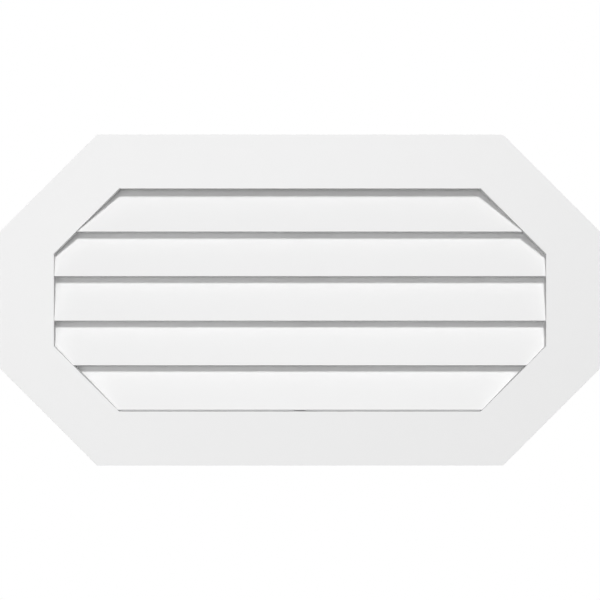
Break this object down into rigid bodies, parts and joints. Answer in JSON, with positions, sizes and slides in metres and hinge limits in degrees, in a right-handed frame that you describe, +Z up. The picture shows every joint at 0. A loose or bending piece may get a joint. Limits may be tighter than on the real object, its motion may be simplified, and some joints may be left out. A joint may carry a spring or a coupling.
{
  "type": "gable vent",
  "caption": "Horizontal octagonal louvred gable vent: flat face trim, sloping louvres in a mitred sleeve, notched brace and insect screen behind.",
  "frame": {"origin": "centre of the opening on the wall's face, where the back of the face trim rests", "axes": "+X to the viewer's right along the vent's length, +Y back into the wall, +Z up"},
  "size_m": [0.9906, 0.0656, 0.5462],
  "materials": {
    "trim_pvc": "smooth white cellular PVC, satin",
    "louvre_pvc": "smooth white cellular PVC, satin",
    "sleeve_pvc": "sawn and planed white cellular PVC, matt",
    "screen_wire": "galvanised welded wire",
    "staple_steel": "bright steel wire"
  },
  "bodies": {
    "root": {"face_trim": "trim_pvc", "sleeve_head": "sleeve_pvc", "sleeve_upper_right": "sleeve_pvc", "sleeve_right_jamb": "sleeve_pvc", "sleeve_lower_right": "sleeve_pvc", "sleeve_sill": "sleeve_pvc", "sleeve_lower_left": "sleeve_pvc", "sleeve_left_jamb": "sleeve_pvc", "sleeve_upper_left": "sleeve_pvc", "louvre_1": "louvre_pvc", "louvre_2": "louvre_pvc", "louvre_3": "louvre_pvc", "louvre_4": "louvre_pvc", "louvre_5": "louvre_pvc", "centre_brace": "sleeve_pvc", "insect_screen": "screen_wire", "screen_staples": "staple_steel"}
  },
  "joints": []
}
